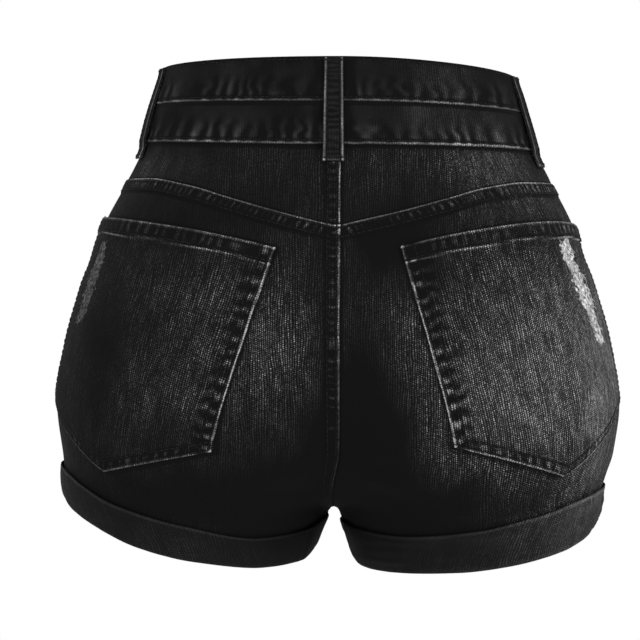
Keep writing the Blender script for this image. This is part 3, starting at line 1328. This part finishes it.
def fray_ends(grid, side):
    """Loose thread ends on the frayed strip of a pocket."""
    index = np.arange(grid.p.shape[0] * grid.p.shape[1]).reshape(grid.p.shape[:2])
    quads = np.stack([index[:-1, :-1], index[1:, :-1], index[1:, 1:], index[:-1, 1:]], -1).reshape(-1, 4)
    bared = quads[grid.fray.ravel()[quads].min(axis=1) > 0.2]
    verts = grid.outer.reshape(-1, 3)
    name, uv = "frayed_ends_" + side_name(side), np.zeros((len(verts), 2))
    obj = make_mesh(name, verts, bared[:, ::-side], [], uv, {"fray": grid.fray}, BARE_THREAD[side])
    grown(obj, fray_tree(name, BARE_THREAD[side]), {"Density": FRAY_DENSITY[side], **FRAYING})


# Buttons


def button(name, node, top_key, foot_key):
    """A tack button, turned about the cloth's outward direction, and the sewn buttonhole behind it."""
    around = -1 + abs(BUTTON_X) / float(total_at(-1, 0.0))
    z = mix(waist_line(top_key, -1, around), waist_line(foot_key, -1, around), 0.5)
    p, n = surface(-1, around, z)
    beside = np.cross(n, [0, 0, 1.0])
    beside /= np.linalg.norm(beside)
    over = np.cross(beside, n)
    seat = p + n * (BAND_CLOTH / 2 + SEAM_GAP)
    turns = np.arange(BUTTON_CORNERS) * 2 * math.pi / BUTTON_CORNERS
    verts, quads, tris = [seat + n * BUTTON_RINGS[0][1]], [], []
    for radius, up in BUTTON_RINGS[1:-1]:
        for turn in turns:
            verts.append(seat + n * up + (beside * math.cos(turn) + over * math.sin(turn)) * radius)
    verts.append(seat + n * BUTTON_RINGS[-1][1])
    last = len(BUTTON_RINGS) - 3
    for k in range(BUTTON_CORNERS):
        a, b = 1 + k, 1 + (k + 1) % BUTTON_CORNERS
        tris.append((0, b, a))
        for low in range(0, last * BUTTON_CORNERS, BUTTON_CORNERS):
            high = low + BUTTON_CORNERS
            quads.append((a + low, b + low, b + high, a + high))
        tris.append((a + last * BUTTON_CORNERS, b + last * BUTTON_CORNERS, len(verts) - 1))
    verts, quads, tris = np.array(verts), np.array(quads), np.array(tris)
    a, b, c = [verts[tris[:, k]] - verts.mean(axis=0) for k in range(3)]
    if (a * np.cross(b, c)).sum() < 0:
        quads, tris = quads[:, ::-1], tris[:, ::-1]
    obj = make_mesh(name, verts, quads, tris, np.zeros((len(verts), 2)), {}, BUTTON_METAL)
    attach(obj, "root")
    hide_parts(node)
    hole = p + n * (BAND_CLOTH / 2 + 0.15)
    ring = np.linspace(0, 2 * math.pi, 60)
    points = hole + beside * (np.cos(ring) * 10.6 + 1.5)[:, None] + over * (np.sin(ring) * 4.6)[:, None]
    sew("holes", (points, np.repeat(n[None], len(ring), axis=0)))


# The garment


upper = waistband("waistband_upper_strip", "waistband_upper", "top", "between", 140)
lower = waistband("waistband_lower_strip", "waistband_lower", "between", "under", 150)
sew("seams", upper.line("foot", 2.5), lower.line("foot", 2.5), upper.line("top", 2.2))
for side in (1, -1):
    back = back_panel(side)
    sew("seams", back.line("top", 2.3), back.line("top", FELL_WIDTH - 1.1))
    hip = yoke(side)
    if side < 0:
        for piece in (back, hip):
            sew("seams", piece.line("end", 2.3), piece.line("end", FELL_WIDTH - 1.1))
    front = front_panel(side)
    if side < 0:
        sew("seams", front.line("end", 2.2, 0.5), front.line("end", 7.5, 0.5))
    patch = pocket(side)
    for edge, inner in (("start", 8.0), ("end", 8.0), ("foot", 7.2)):
        sew("seams", patch.line(edge, 2.0), patch.line(edge, inner, 0.03, 0.97))
    sew("seams", patch.line("top", POCKET_HEM - 1.4, 0.01, 0.99))
    fray_ends(patch, side)
    cuff(side)
flap = fly_flap()
sew("seams", flap.line("end", 2.2), flap.line("start", 2.2), flap.line("start", 6.0))
for number, (name, side, around) in enumerate(LOOPS):
    strap = belt_loop(name, side, around, 160 + 5 * number)
    for edge in ("start", "end"):
        sew("edges", strap.line(edge, 2.2, 0.03, 0.97))
    for edge in ("foot", "top"):
        sew("bars", strap.line(edge, 1.6, 0.12, 0.88), strap.line(edge, 2.3, 0.12, 0.88))
button("button_upper_cap", "button_upper", "top", "between")
button("button_lower_cap", "button_lower", "between", "under")
for kind in PATHS:
    sew_all("stitches_" + kind, kind, DARK_THREAD)


# Floor, light and camera


# In metres
FLOOR_HALF, FLOOR_Z = 2.4, -0.62
AIM = (0, 0, -0.13)
LIGHTS = [  # name, place, size and power in watts
    ("key", (1.5, -1.6, 1.0), 1.0, 26),
    ("fill", (-1.7, -1.5, 0.5), 1.4, 11),
    ("top", (0.0, -0.2, 2.2), 1.6, 15),
    ("back_left", (-1.3, 1.4, 0.9), 1.2, 8),
    ("back_right", (1.3, 1.4, 0.9), 1.2, 8),
]
TURN = math.radians(2.1)  # the camera's, about the garment's own upright
DISTANCE = 2.0
SHIFT = 0.012  # to its left
CAMERA_Z = -0.136
VIEW_WIDTH = 0.416  # what the picture holds at the garment's middle
SENSOR = 36.0  # millimetres


def plain(name, grey):
    material, tree = new_material(name)
    finish_surface(tree, {"Base Color": (grey, grey, grey, 1), "Roughness": 1.0})
    return material


def floor():
    corners = [(x * FLOOR_HALF, y * FLOOR_HALF, FLOOR_Z) for x, y in ((-1, -1), (1, -1), (1, 1), (-1, 1))]
    mesh = bpy.data.meshes.new("studio_floor")
    mesh.from_pydata(corners, [], [(0, 1, 2, 3)])
    mesh.materials.append(plain("studio_white", 0.9))
    in_scene("studio_floor", mesh)


def area_light(name, place, size, watts):
    light = bpy.data.lights.new(name, "AREA")
    light.shape = "DISK"
    light.size = size
    light.energy = watts
    obj = in_scene(name, light)
    obj.location = place
    obj.rotation_euler = Vector(np.array(AIM) - np.array(place)).to_track_quat("-Z", "Y").to_euler()


floor()
for light in LIGHTS:
    area_light(*light)
world = bpy.data.worlds.new("studio")
world.use_nodes = True
world.node_tree.nodes["Background"].inputs["Color"].default_value = (1, 1, 1, 1)
world.node_tree.nodes["Background"].inputs["Strength"].default_value = 1.0
bpy.context.scene.world = world

camera = bpy.data.cameras.new("camera")
camera.sensor_width = SENSOR
camera.lens = SENSOR * DISTANCE / VIEW_WIDTH
camera.clip_end = 50.0
view = in_scene("camera", camera)
view.location = (
    DISTANCE * math.sin(TURN) - SHIFT * math.cos(TURN),
    -DISTANCE * math.cos(TURN) - SHIFT * math.sin(TURN),
    CAMERA_Z,
)
view.rotation_euler = (math.pi / 2, 0, TURN)
bpy.context.scene.camera = view
bpy.context.scene.view_settings.view_transform = "Standard"
